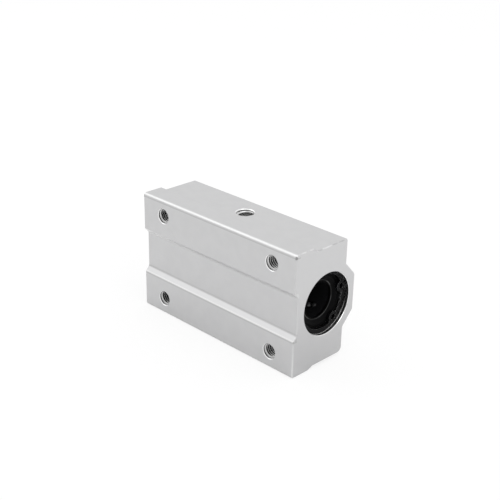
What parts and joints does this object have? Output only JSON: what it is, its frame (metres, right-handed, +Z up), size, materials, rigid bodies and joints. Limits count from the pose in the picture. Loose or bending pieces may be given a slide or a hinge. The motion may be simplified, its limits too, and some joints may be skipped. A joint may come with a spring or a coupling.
{
  "type": "linear bearing block",
  "caption": "Aluminium block with a pair of ball bushings that carries a plate along a 12 mm shaft; tapped holes in its mounting face and a grease port in one side.",
  "frame": {"origin": "on the shaft's axis, half way along the block", "axes": "+X along the shaft, -Y out of the mounting face, +Y out of the rounded crown, +Z up across the width, as the block stands in the picture"},
  "size_m": [0.07, 0.028, 0.042],
  "materials": {
    "anodised_aluminium": "satin clear-anodised extrusion, milled faces",
    "black_spring_steel": "phosphated black",
    "bearing_steel": "ground and hardened",
    "cage_resin": "moulded, dark",
    "seal_rubber": "black nitrile",
    "ball_steel": "polished",
    "spacer_aluminium": "turned"
  },
  "bodies": {
    "root": {"housing": "anodised_aluminium", "spacer_ring": "spacer_aluminium", "retaining_ring_front": "black_spring_steel", "front_bearing_sleeve": "bearing_steel", "front_bearing_cage": "cage_resin", "front_bearing_outer_seal": "seal_rubber", "front_bearing_inner_seal": "seal_rubber", "front_bearing_balls_1": "ball_steel", "front_bearing_balls_2": "ball_steel", "front_bearing_balls_3": "ball_steel", "front_bearing_balls_4": "ball_steel", "retaining_ring_back": "black_spring_steel", "back_bearing_sleeve": "bearing_steel", "back_bearing_cage": "cage_resin", "back_bearing_outer_seal": "seal_rubber", "back_bearing_inner_seal": "seal_rubber", "back_bearing_balls_1": "ball_steel", "back_bearing_balls_2": "ball_steel", "back_bearing_balls_3": "ball_steel", "back_bearing_balls_4": "ball_steel"}
  },
  "joints": []
}
